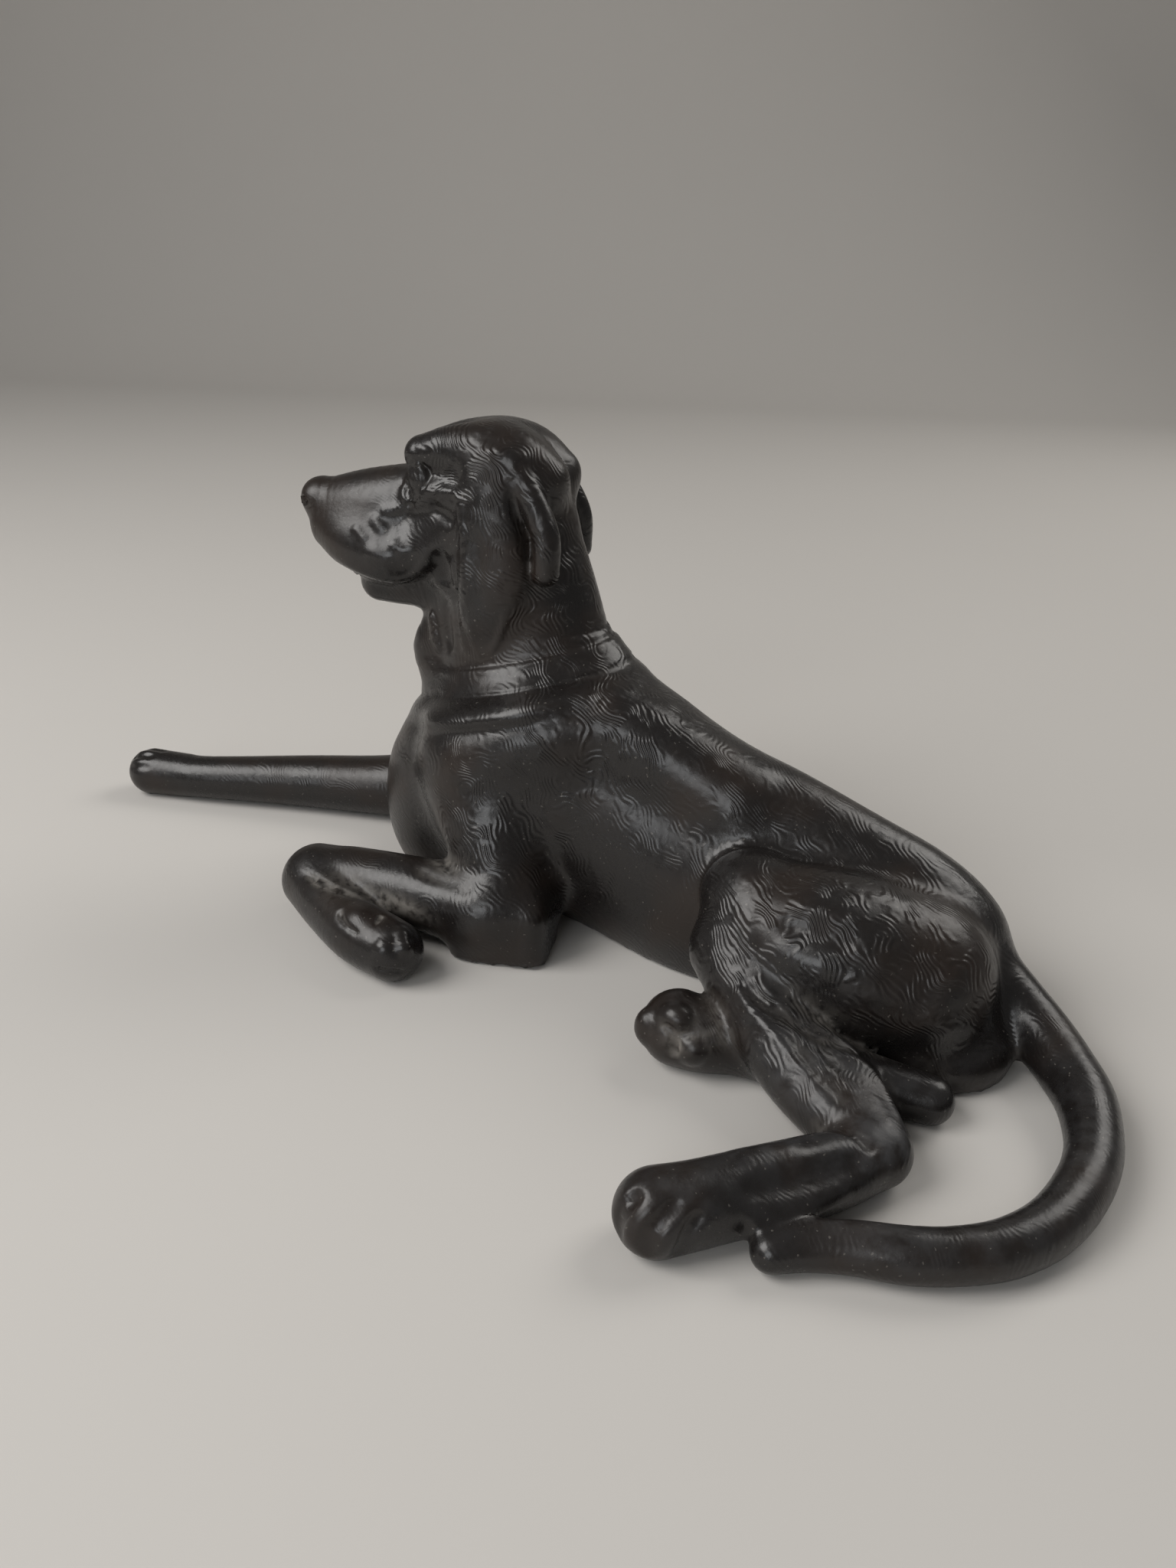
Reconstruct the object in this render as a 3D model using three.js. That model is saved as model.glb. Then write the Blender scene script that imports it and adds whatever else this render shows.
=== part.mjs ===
// Cast iron statue of a lying hound, one solid casting. Millimetres.
// +Z up, -X towards the nose, +X towards the rump, -Y towards the side both hind feet lie on.
// The animal is a blend of rounded forms, skinned on a grid and thinned to a faceted solid.
import * as THREE from "three";
import { edgeTable, triTable } from "three/addons/objects/MarchingCubes.js";

// ---- sizes ----
const cell = 2; // grid of the skin
const faceLimit = 9800; // triangles of the finished solid
const low = [-200, -120, -1];
const high = [118, 60, 133];
const headAt = [-62, -1, 100];
const headYaw = 16; // the head is turned this far to the -Y side
const farNarrow = 1.1; // the side of the head away from -Y is narrower by this
const collarAt = [-54, 0, 64.2];
const collarRise = 0.29; // the collar climbs towards the nape
const collarHalf = 3.1;
const collarProud = 0.6;
const foldDrop = 6.6; // the skin fold lies this far under the middle of the collar
const foldRound = 2.9;

// ---- blending ----
const radians = THREE.MathUtils.degToRad;

function smoothMin(a, b, k) {
  const h = Math.max(k - Math.abs(a - b), 0) / k;
  return Math.min(a, b) - h * h * k * 0.25;
}

function smoothMax(a, b, k) {
  return -smoothMin(-a, -b, k);
}

// ---- forms: each has distance(x, y, z), a bounding sphere and the width of its blend ----
function ball(centre, radii, blend, turn = [0, 0, 0]) {
  const euler = new THREE.Euler(...turn.map(radians), "ZYX");
  const m = new THREE.Matrix4().makeRotationFromEuler(euler).elements;
  const [rx, ry, rz] = radii;
  const distance = (x, y, z) => {
    const dx = x - centre[0];
    const dy = y - centre[1];
    const dz = z - centre[2];
    const a = (m[0] * dx + m[1] * dy + m[2] * dz) / rx;
    const b = (m[4] * dx + m[5] * dy + m[6] * dz) / ry;
    const c = (m[8] * dx + m[9] * dy + m[10] * dz) / rz;
    const outer = Math.hypot(a, b, c);
    const slope = Math.hypot(a / rx, b / ry, c / rz);
    return slope < 1e-6 ? -Math.min(rx, ry, rz) : (outer * (outer - 1)) / slope;
  };
  return { distance, centre, reach: Math.max(rx, ry, rz), blend };
}

function block(centre, half, round, blend, turn) {
  const cos = Math.cos(radians(turn));
  const sin = Math.sin(radians(turn));
  const distance = (x, y, z) => {
    const dx = x - centre[0];
    const dy = y - centre[1];
    const a = Math.abs(cos * dx + sin * dy) - half[0] + round;
    const b = Math.abs(cos * dy - sin * dx) - half[1] + round;
    const c = Math.abs(z - centre[2]) - half[2] + round;
    const outside = Math.hypot(Math.max(a, 0), Math.max(b, 0), Math.max(c, 0));
    return outside + Math.min(Math.max(a, b, c), 0) - round;
  };
  return { distance, centre, reach: Math.hypot(...half), blend };
}

// A limb through stations [x, y, z, radius]; wide = [axis, ratio] makes it broader along that axis.
function limb(stations, blend, wide = null) {
  const steps = 6 * (stations.length - 1);
  const line = stations.map((s) => new THREE.Vector3(s[0], s[1], s[2]));
  const girth = stations.map((s, i) => new THREE.Vector3(10 * i, s[3], 0));
  const curve = new THREE.CatmullRomCurve3(line, false, "catmullrom", 0.5);
  const round = new THREE.CatmullRomCurve3(girth, false, "catmullrom", 0.5);
  const points = [];
  const radii = [];
  for (let i = 0; i <= steps; i++) {
    points.push(curve.getPoint(i / steps));
    radii.push(round.getPoint(i / steps).y);
  }
  const axis = wide ? new THREE.Vector3(...wide[0]).normalize() : new THREE.Vector3();
  const ratio = wide ? wide[1] : 1;
  const distance = (x, y, z) => {
    let best = Infinity;
    for (let i = 0; i < steps; i++) {
      const p = points[i];
      const q = points[i + 1];
      const ex = q.x - p.x;
      const ey = q.y - p.y;
      const ez = q.z - p.z;
      const px = x - p.x;
      const py = y - p.y;
      const pz = z - p.z;
      const along = (px * ex + py * ey + pz * ez) / (ex * ex + ey * ey + ez * ez);
      const t = Math.min(Math.max(along, 0), 1);
      const dx = px - t * ex;
      const dy = py - t * ey;
      const dz = pz - t * ez;
      const squeeze = (dx * axis.x + dy * axis.y + dz * axis.z) * (1 / ratio - 1);
      const away = Math.hypot(dx + squeeze * axis.x, dy + squeeze * axis.y, dz + squeeze * axis.z);
      best = Math.min(best, away - radii[i] - t * (radii[i + 1] - radii[i]));
    }
    return best;
  };
  const around = new THREE.Box3().setFromPoints(points).getBoundingSphere(new THREE.Sphere());
  const reach = around.radius + Math.max(...radii) * Math.max(ratio, 1);
  return { distance, centre: around.center.toArray(), reach, blend };
}

// ---- torso, neck and limbs ----
const bodyForms = [
  ball([-38, 0, 31], [44, 26, 35], 6),
  ball([-72.5, -2, 21], [23, 22, 29], 9),
  ball([6, 0, 18], [44, 24.5, 31], 10),
  ball([42, 1, 19], [34, 18, 21.5], 8),
  ball([56.5, -1, 14], [18.5, 15, 17.5], 8),
  ball([63, -12, 7], [16, 15, 15], 5),
  ball([66, -16, 4], [18, 17, 12], 5),
  limb([[-46, 0, 54, 14], [-24, 0, 52, 12], [4, 0, 44, 10.5], [30, 0, 37, 10], [50, 0, 30, 9], [63, -1.5, 21, 8]], 8),
  limb([[-54, 0, 36, 23.5], [-54, -0.5, 60, 18.6], [-56, -1, 80, 15.6], [-60, -1.5, 96, 14.2]], 12, [[-0.97, -0.24, 0], 1.3]),
  // near shoulder and the folded foreleg
  limb([[-60, -22, 42, 7], [-50, -24.5, 47, 7.5], [-37, -19.5, 53, 8], [-23, -11, 56, 9], [-8, -9, 51, 9], [10, -8, 44, 8]], 7),
  ball([-48, -16, 38], [20, 13, 26], 9, [0, 20, 0]),
  limb([[-58, -18, 42, 13], [-49, -25, 29, 12.5], [-40, -31, 16, 10.5]], 7),
  block([-38.2, -33.8, 6], [12.2, 9.8, 11], 4.5, 7, 19),
  limb([[-42, -37, 10, 10.5], [-56, -39.5, 11.2, 9.4], [-72, -42, 10.8, 8.7], [-89, -45.6, 10, 8.2]], 4),
  limb([[-90, -47, 8.6, 8.1], [-77, -54, 7.9, 7.4], [-64, -58.6, 7.6, 7.9], [-53, -60, 7, 7.5]], 2.5),
  // far shoulder and the stretched foreleg
  ball([-50, 17, 37], [19, 13, 27], 8, [0, 20, 0]),
  limb([[-60, 24, 26, 15], [-84, 20, 15, 12], [-107, 11, 10, 9.6], [-135, -0.5, 8.3, 8],
    [-163, -13.5, 7, 6.6], [-172, -16.5, 6.6, 6.8], [-182, -20, 6.6, 7.2]], 6),
  // left hind leg
  limb([[60, -18, 18.5, 18.5], [47, -23.5, 21.5, 19], [37, -26, 23.5, 17.3], [30, -27.2, 26, 14]], 4),
  ball([23, -25, 29.5], [11.5, 11, 11.5], 4),
  limb([[24, -32.5, 20.5, 10.8], [33.5, -41.5, 15.5, 9], [45, -51, 10.5, 7.8], [58, -58.5, 8, 7.2], [68, -62, 7, 6.4]], 3),
  limb([[36, -40, 13, 7], [47, -46, 11.5, 6.5], [57, -49.5, 9.5, 6.3], [64.5, -57, 7.5, 6.4], [69.3, -63, 6.5, 6]], 2),
  limb([[69.3, -64, 6.4, 6], [64.5, -72, 6.8, 7.2], [58, -81, 7, 7.7], [52.2, -88.5, 7.4, 7.7],
    [46, -96, 7.4, 7.8], [41, -101.2, 7.2, 8.1]], 2.5),
  // right hind leg
  limb([[72.6, -39.6, 4.6, 5.2], [52, -43.5, 6, 6.5], [34, -46, 6.5, 7], [25, -49.5, 7.5, 8], [19.5, -50.5, 8, 8.5]], 2.5),
  // tail
  limb([[72, -2, 14, 9.5], [81, -5, 11, 7.6], [88.3, -9.3, 8.5, 6.9], [94.4, -15.6, 7.2, 6.5], [100.5, -24.3, 6.4, 6.2],
    [104.2, -35.2, 5.8, 5.7], [105.2, -44.4, 5.6, 5.5], [104.2, -54.8, 5.5, 5.4], [101.6, -64.2, 5.4, 5.3],
    [97.6, -71.5, 5.3, 5.2], [93.4, -76.3, 5.2, 5.1], [87.4, -81, 5.1, 5], [81.1, -84.6, 5.1, 5],
    [72.5, -87.8, 4.8, 4.7], [65.7, -91.6, 4.4, 4.3], [61, -95.6, 4, 3.8]], 3),
];

// ---- head, in its own frame: x forward, y to either side alike, z up ----
const headForms = [
  ball([0.8, 0, 5], [17.2, 15, 19.5], 6),
  limb([[18.3, 7, 15.4, 4.8], [9, 7.6, 17.2, 5.8], [-4, 7.5, 16, 6.5], [-12, 6, 11.5, 6]], 5),
  limb([[18, 0, 3, 10], [34, 0, 1.6, 8.2], [47, 0, 0, 6.2]], 5),
  ball([29, 0, -3], [20, 10.5, 10.5], 4),
  limb([[45.5, 2.6, -6.5, 5.2], [38, 5.5, -8.5, 7], [28, 7, -10, 7.8], [18, 7.5, -8, 6.5]], 5),
  limb([[33.5, 0, -19, 5.6], [27, 0, -19.3, 5.6], [14, 0, -17.5, 7.5]], 4),
  ball([50.3, 0, 1.6], [4.3, 5.6, 4.4], 3),
  ball([6, 8.5, -5], [13, 6.5, 13], 5),
  limb([[20, 9, 6, 3], [13, 11.5, 7.5, 3], [6, 12.5, 5, 3.2]], 3),
  limb([[9, 0, -24, 7.5], [17.4, 0, -35.5, 7.2], [9, 0, -44, 9]], 5),
  limb([[-2.5, 13.2, 17, 2.6], [-1.5, 15.5, 8, 2.8], [-2.6, 16.8, -9, 3.5], [-2, 17, -20, 3], [-1, 16.2, -29, 1.7]],
    2, [[1, 0, 0], 2.5]),
  limb([[-6, 12, 15.5, 3], [-11.5, 14, 8.5, 3.2], [-15.6, 15.4, 0, 3.4], [-16, 15.8, -8.5, 3.3]], 1.5),
];

// ---- the whole field: below zero is iron ----
function blendAll(forms, x, y, z, start) {
  let d = start;
  for (const form of forms) {
    const [cx, cy, cz] = form.centre;
    if (Math.hypot(x - cx, y - cy, z - cz) - form.reach > d + form.blend) {
      continue;
    }
    d = Math.min(d, 1e3);
    d = smoothMin(d, form.distance(x, y, z), form.blend);
  }
  return d;
}

function field(x, y, z) {
  let d = blendAll(bodyForms, x, y, z, Infinity);
  const h = (z - collarAt[2] - collarRise * (x - collarAt[0])) / Math.hypot(1, collarRise);
  if (Math.abs(h) < 14 && z > 40) {
    const fade = THREE.MathUtils.smoothstep(x, -92, -62) * (1 - THREE.MathUtils.smoothstep(x, -40, -22));
    const fold = Math.hypot(d + 3.2 - 2.2 * fade, h + foldDrop) - foldRound;
    d = Math.min(smoothMin(d, fold, 2), smoothMax(d - collarProud, Math.abs(h) - collarHalf, 1));
  }
  const dx = x - headAt[0];
  const dy = y - headAt[1];
  const cos = Math.cos(radians(headYaw));
  const sin = Math.sin(radians(headYaw));
  const forward = -cos * dx - sin * dy;
  const across = sin * dx - cos * dy;
  const side = across < 0 ? -across * farNarrow : across;
  d = blendAll(headForms, forward, side, z - headAt[2], d);
  return Math.max(d, -z);
}

// ---- skin: marching cubes over the field, coarse blocks far from the surface filled at once ----
function skin(cell) {
  const n = low.map((v, i) => 4 * Math.ceil((high[i] - v) / cell / 4) + 1);
  const at = (i, j, k) => i + n[0] * (j + n[1] * k);
  const value = new Float32Array(n[0] * n[1] * n[2]);
  const block = (i0, j0, k0) => {
    const middle = [i0 + 2, j0 + 2, k0 + 2].map((v, q) => low[q] + v * cell);
    const there = field(...middle);
    const near = Math.abs(there) < 7.2 * cell;
    for (let k = k0; k < Math.min(k0 + 4, n[2]); k++) {
      for (let j = j0; j < Math.min(j0 + 4, n[1]); j++) {
        for (let i = i0; i < Math.min(i0 + 4, n[0]); i++) {
          const d = near ? field(low[0] + i * cell, low[1] + j * cell, low[2] + k * cell) : there;
          value[at(i, j, k)] = d === 0 ? 1e-4 : d;
        }
      }
    }
  };
  for (let k = 0; k < n[2]; k += 4) {
    for (let j = 0; j < n[1]; j += 4) {
      for (let i = 0; i < n[0]; i += 4) {
        block(i, j, k);
      }
    }
  }
  const corner = [[0, 0, 0], [1, 0, 0], [1, 1, 0], [0, 1, 0], [0, 0, 1], [1, 0, 1], [1, 1, 1], [0, 1, 1]];
  const edge = [[0, 1], [1, 2], [2, 3], [3, 0], [4, 5], [5, 6], [6, 7], [7, 4], [0, 4], [1, 5], [2, 6], [3, 7]];
  const points = [];
  const faces = [];
  const made = new Map();
  const place = (id) => [id % n[0], Math.floor(id / n[0]) % n[1], Math.floor(id / (n[0] * n[1]))];
  const crossing = (a, b) => {
    const key = Math.min(a, b) * value.length + Math.max(a, b);
    if (!made.has(key)) {
      const t = Math.min(Math.max(value[a] / (value[a] - value[b]), 0.02), 0.98);
      const p = place(a);
      const q = place(b);
      points.push(p.map((v, i) => low[i] + cell * (v + t * (q[i] - v))));
      made.set(key, points.length - 1);
    }
    return made.get(key);
  };
  for (let k = 0; k < n[2] - 1; k++) {
    for (let j = 0; j < n[1] - 1; j++) {
      for (let i = 0; i < n[0] - 1; i++) {
        let mask = 0;
        for (let q = 0; q < 8; q++) {
          const c = corner[q];
          mask |= value[at(i + c[0], j + c[1], k + c[2])] < 0 ? 1 << q : 0;
        }
        for (let t = mask * 16; edgeTable[mask] && triTable[t] !== -1; t += 3) {
          const face = [2, 1, 0].map((q) => {
            const [a, b] = edge[triTable[t + q]].map((c) => corner[c]);
            return crossing(at(i + a[0], j + a[1], k + a[2]), at(i + b[0], j + b[1], k + b[2]));
          });
          faces.push(face);
        }
      }
    }
  }
  return { points, faces };
}

// ---- thinning: edges whose loss moves the surface least are closed up first ----
function planeError(q, x, y, z) {
  return q[0] * x * x + q[4] * y * y + q[7] * z * z + 2 * (q[1] * x * y + q[2] * x * z + q[5] * y * z)
    + 2 * (q[3] * x + q[6] * y + q[8] * z) + q[9];
}

function bestPoint(q, a, b) {
  const m = new THREE.Matrix3().set(q[0], q[1], q[2], q[1], q[4], q[5], q[2], q[5], q[7]);
  const middle = a.map((v, i) => (v + b[i]) / 2);
  const choices = [a, b, middle];
  if (Math.abs(m.determinant()) > 1e-3) {
    const free = new THREE.Vector3(-q[3], -q[6], -q[8]).applyMatrix3(m.invert()).toArray();
    if (Math.hypot(...free.map((v, i) => v - middle[i])) < 2 * Math.hypot(...a.map((v, i) => v - b[i]))) {
      choices.push(free);
    }
  }
  const scored = choices.map((point) => ({ point, error: planeError(q, ...point) }));
  return scored.reduce((best, next) => (next.error < best.error ? next : best));
}

function crossOf(a, b, c) {
  const u = [b[0] - a[0], b[1] - a[1], b[2] - a[2]];
  const v = [c[0] - a[0], c[1] - a[1], c[2] - a[2]];
  return [u[1] * v[2] - u[2] * v[1], u[2] * v[0] - u[0] * v[2], u[0] * v[1] - u[1] * v[0]];
}

function thin(points, faces, limit) {
  const quadric = points.map(() => new Float64Array(10));
  const around = points.map(() => new Set());
  faces.forEach((face, f) => {
    const cross = crossOf(...face.map((v) => points[v]));
    const size = Math.hypot(...cross) || 1e-12;
    const [a, b, c] = cross.map((v) => v / size);
    const d = -(a * points[face[0]][0] + b * points[face[0]][1] + c * points[face[0]][2]);
    const q = [a * a, a * b, a * c, a * d, b * b, b * c, b * d, c * c, c * d, d * d];
    for (const v of face) {
      q.forEach((value, i) => {
        quadric[v][i] += value * size;
      });
      around[v].add(f);
    }
  });
  const heap = [];
  const stamp = new Uint32Array(points.length);
  const up = (entry) => {
    let i = heap.push(entry) - 1;
    while (i > 0 && heap[(i - 1) >> 1].error > entry.error) {
      heap[i] = heap[(i - 1) >> 1];
      i = (i - 1) >> 1;
    }
    heap[i] = entry;
  };
  const pop = () => {
    const top = heap[0];
    const last = heap.pop();
    if (heap.length > 0) {
      let i = 0;
      for (let j = 1; j < heap.length; j = 2 * i + 1) {
        if (j + 1 < heap.length && heap[j + 1].error < heap[j].error) {
          j += 1;
        }
        if (heap[j].error >= last.error) {
          break;
        }
        heap[i] = heap[j];
        i = j;
      }
      heap[i] = last;
    }
    return top;
  };
  const offer = (a, b) => {
    const q = quadric[a].map((v, i) => v + quadric[b][i]);
    const { point, error } = bestPoint(q, points[a], points[b]);
    const reach = Math.hypot(...points[a].map((v, i) => v - points[b][i]));
    up({ a, b, point, error: error + 1e-4 * reach * reach, stampA: stamp[a], stampB: stamp[b] });
  };
  const ring = (v) => {
    const found = new Set();
    for (const f of around[v]) {
      faces[f].forEach((w) => found.add(w));
    }
    found.delete(v);
    return found;
  };
  const keepsShape = (v, other, point) => {
    for (const f of around[v]) {
      if (faces[f].includes(other)) {
        continue;
      }
      const before = crossOf(...faces[f].map((w) => points[w]));
      const after = crossOf(...faces[f].map((w) => (w === v ? point : points[w])));
      const dot = before[0] * after[0] + before[1] * after[1] + before[2] * after[2];
      if (dot < 0.3 * Math.hypot(...before) * Math.hypot(...after) || Math.hypot(...after) < 0.02) {
        return false;
      }
    }
    return true;
  };
  points.forEach((_, v) => {
    for (const w of ring(v)) {
      if (w > v) {
        offer(v, w);
      }
    }
  });
  let count = faces.length;
  while (count > limit && heap.length > 0) {
    const { a, b, point, stampA, stampB } = pop();
    if (stampA !== stamp[a] || stampB !== stamp[b]) {
      continue;
    }
    const ringB = ring(b);
    const shared = [...ring(a)].filter((v) => ringB.has(v));
    if (shared.length !== 2 || !keepsShape(a, b, point) || !keepsShape(b, a, point)) {
      continue;
    }
    points[a] = point;
    quadric[a] = quadric[a].map((v, i) => v + quadric[b][i]);
    for (const f of [...around[b]]) {
      if (faces[f].includes(a)) {
        faces[f].forEach((v) => around[v].delete(f));
        faces[f] = null;
        count -= 1;
      } else {
        faces[f] = faces[f].map((v) => (v === b ? a : v));
        around[a].add(f);
      }
    }
    around[b].clear();
    stamp[b] += 1;
    stamp[a] += 1;
    for (const v of ring(a)) {
      offer(a, v);
    }
  }
  return faces.filter((face) => face !== null);
}

// ---- the casting ----
function casting() {
  const { points, faces } = skin(cell);
  const kept = thin(points, faces, faceLimit);
  const index = new Map();
  const flat = [];
  const order = kept.flat().map((v) => {
    if (!index.has(v)) {
      index.set(v, index.size);
      flat.push(points[v][0], points[v][1], Math.abs(points[v][2]) < 0.15 ? 0 : points[v][2]);
    }
    return index.get(v);
  });
  const geometry = new THREE.BufferGeometry();
  geometry.setAttribute("position", new THREE.Float32BufferAttribute(flat, 3));
  geometry.setIndex(order);
  geometry.computeBoundingBox();
  const middle = geometry.boundingBox.getCenter(new THREE.Vector3());
  geometry.translate(-middle.x, -middle.y, -geometry.boundingBox.min.z);
  geometry.computeVertexNormals();
  return { geometry, middle };
}

const iron = new THREE.MeshStandardMaterial({ color: 0x17171a, roughness: 0.42, metalness: 0.3 });
const { geometry } = casting();
const hound = new THREE.Mesh(geometry, iron);
hound.name = "hound_casting";

const group = new THREE.Group();
group.name = "cast_iron_hound";
group.add(hound);

export default group;
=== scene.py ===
"""A lying hound in black cast iron, on a plain studio floor.

The casting is one skin. Its form is a blend of rounded masses, given in millimetres in the sculptor's
frame: x runs towards the rump, y = 0 is the line of the spine, z is up from the table, and the hind
feet lie on the -y side. The head has a frame of its own: forward, out to either side alike, up.
"""

import math

import bpy
import numpy as np
from bpy.props import FloatProperty, FloatVectorProperty, PointerProperty
from mathutils import Matrix, Vector


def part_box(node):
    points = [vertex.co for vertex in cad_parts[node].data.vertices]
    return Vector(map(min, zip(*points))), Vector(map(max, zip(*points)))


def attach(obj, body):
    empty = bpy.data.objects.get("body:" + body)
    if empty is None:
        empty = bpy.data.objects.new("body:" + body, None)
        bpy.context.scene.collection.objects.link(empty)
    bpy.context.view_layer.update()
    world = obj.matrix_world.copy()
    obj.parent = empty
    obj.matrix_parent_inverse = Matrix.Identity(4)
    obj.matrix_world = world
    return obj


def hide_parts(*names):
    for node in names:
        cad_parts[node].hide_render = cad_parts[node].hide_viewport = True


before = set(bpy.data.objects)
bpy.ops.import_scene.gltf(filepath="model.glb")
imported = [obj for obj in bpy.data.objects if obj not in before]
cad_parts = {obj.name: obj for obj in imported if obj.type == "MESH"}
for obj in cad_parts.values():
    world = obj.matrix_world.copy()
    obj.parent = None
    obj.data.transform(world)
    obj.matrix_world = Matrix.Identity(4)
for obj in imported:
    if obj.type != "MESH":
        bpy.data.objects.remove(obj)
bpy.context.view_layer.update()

bl_info = {
    "name": "Cast Iron Hound",
    "version": (1, 0, 0),
    "blender": (4, 5, 0),
    "location": "3D View > Sidebar > Hound",
    "description": "Builds a lying cast iron hound with its varnish, and a plain studio around it",
    "category": "Object",
}

# ---- sizes, millimetres ----
LENGTH = 299.85  # stretched paw to the outside of the tail
MIDDLE = (-39.27, -35.06)  # middle of the outline on the table, in the sculptor's frame
CELL = 1.5  # grid of the skin before it is made finer
BLOCK_CELLS = 4  # the grid is first looked at in blocks of this many cells
LOW = (-200.0, -120.0, -3.0)  # corners of the grid
HIGH = (118.0, 60.0, 133.0)
ON_TABLE = 0.02  # points lower than this stay level
STROKE_FADE = 0.22  # share of a stroke over which it fades at each end

HEAD_AT = (-62.0, -1.0, 100.0)
HEAD_YAW = 16.0  # degrees
FAR_NARROW = 1.1  # the far side of the head is narrower by this
COLLAR_AT = (-54.0, 0.0, 64.2)
COLLAR_RISE = 0.29  # slant of the collar's plane, height over run
COLLAR_HALF = 3.1  # half its width
COLLAR_PROUD = 0.6  # how far it stands out from the neck
COLLAR_REACH = 14  # no skin further than this from the collar's plane is changed
NECK_FROM = 40  # nor any lower than this
FOLD_DROP = 6.6  # fold of skin below the middle of the collar
FOLD_ROUND = 2.9  # its radius
FOLD_SINK = 3.2  # how deep its middle lies in the neck
FOLD_SWELL = 2.2  # how much less deep at the throat and the side
FOLD_START = (-92, -62)  # it swells between these,
FOLD_END = (-40, -22)  # and dies away between these


# ---- blending of distances ----
def smooth_min(a, b, k):
    """The lesser of two distances, with a round fillet where they differ by less than k."""
    h = np.maximum(k - np.abs(a - b), 0.0) / k
    return np.minimum(a, b) - h * h * k * 0.25


def smooth_max(a, b, k):
    """The greater of two distances, rounded in the same way."""
    return -smooth_min(-a, -b, k)


def smooth_step(v, a, b):
    """Rises from 0 at a to 1 at b with level ends."""
    t = np.clip((v - a) / (b - a), 0.0, 1.0)
    return t * t * (3.0 - 2.0 * t)


def smooth_line(stations, steps=6):
    """Catmull-Rom curve through the stations; every number of a station, girth too, is carried alike."""
    s = np.array(stations, float)
    s = np.vstack([2 * s[0] - s[1], s, 2 * s[-1] - s[-2]])
    last = len(stations) - 1
    t = np.linspace(0, last, steps * last + 1)
    i = np.minimum(t.astype(int), last - 1)
    w = (t - i)[:, None]
    a, b, c, d = s[i], s[i + 1], s[i + 2], s[i + 3]
    m, n = (c - a) / 2, (d - b) / 2
    return ((2 * b - 2 * c + m + n) * w + (-3 * b + 3 * c - 2 * m - n)) * w * w + m * w + b


# ---- forms ----
class Form:
    """A rounded mass: its distance function, the box that holds it and how it joins the rest."""

    def __init__(self, distance, low, high, blend, cut=False):
        self.distance = distance
        self.low = np.array(low, float)
        self.high = np.array(high, float)
        self.blend = blend
        self.cut = cut

    def near(self, p, reach):
        """Which of the points lie in the form's box, made larger by reach on every side."""
        return np.all((p > self.low - reach) & (p < self.high + reach), axis=1)


def ball(centre, radii, blend, turn=(0, 0, 0), cut=False):
    """Ellipsoid: with o the radius of p in units of the radii, the distance is about o (o - 1) / slope."""
    centre = np.array(centre, float)
    radii = np.array(radii, float)
    rx, ry, rz = (math.radians(v) for v in turn)
    axes = np.array(Matrix.Rotation(rz, 3, "Z") @ Matrix.Rotation(ry, 3, "Y") @ Matrix.Rotation(rx, 3, "X"))

    def distance(p):
        q = (p - centre) @ axes / radii
        outer = np.sqrt((q * q).sum(1))
        slope = np.sqrt(((q / radii) ** 2).sum(1)) + 1e-9
        return np.where(outer < 1e-5, -radii.min(), outer * (outer - 1.0) / slope)

    reach = radii.max() if any(turn) else radii
    return Form(distance, centre - reach, centre + reach, blend, cut)


def block(centre, half, corner, blend, turn):
    """Box with round corners, turned about the upright axis."""
    centre = np.array(centre, float)
    cos, sin = math.cos(math.radians(turn)), math.sin(math.radians(turn))

    def distance(p):
        d = p - centre
        a = np.abs(cos * d[:, 0] + sin * d[:, 1]) - half[0] + corner
        b = np.abs(cos * d[:, 1] - sin * d[:, 0]) - half[1] + corner
        c = np.abs(d[:, 2]) - half[2] + corner
        outside = np.sqrt(np.maximum(a, 0) ** 2 + np.maximum(b, 0) ** 2 + np.maximum(c, 0) ** 2)
        return outside + np.minimum(np.maximum(np.maximum(a, b), c), 0) - corner

    reach = math.hypot(half[0], half[1])
    size = np.array([reach, reach, half[2]])
    return Form(distance, centre - size, centre + size, blend)


def path_distance(p, line, axis=None, ratio=1.0):
    """Distance to a line of round girth: the least over its spans of the distance to the span less the
    girth there. An axis and a ratio make the girth wider that way."""
    best = np.full(len(p), np.inf)
    for a, b in zip(line[:-1], line[1:]):
        along = b[:3] - a[:3]
        t = np.clip((p - a[:3]) @ along / (along @ along), 0.0, 1.0)
        d = p - a[:3] - t[:, None] * along
        if axis is not None:
            d = d + ((d @ axis) * (1.0 / ratio - 1.0))[:, None] * axis
        best = np.minimum(best, np.sqrt((d * d).sum(1)) - (a[3] + t * (b[3] - a[3])))
    return best


def limb(stations, blend, wide=None, cut=False):
    """A limb of changing girth carried along a curve through stations (x, y, z, radius)."""
    line = smooth_line(stations)
    axis, ratio = None, 1.0
    if wide is not None:
        axis = np.array(wide[0], float)
        axis /= np.linalg.norm(axis)
        ratio = wide[1]
    reach = line[:, 3:].max() * max(ratio, 1.0)

    def distance(p):
        return path_distance(p, line, axis, ratio)

    return Form(distance, line[:, :3].min(0) - reach, line[:, :3].max(0) + reach, blend, cut)


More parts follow.
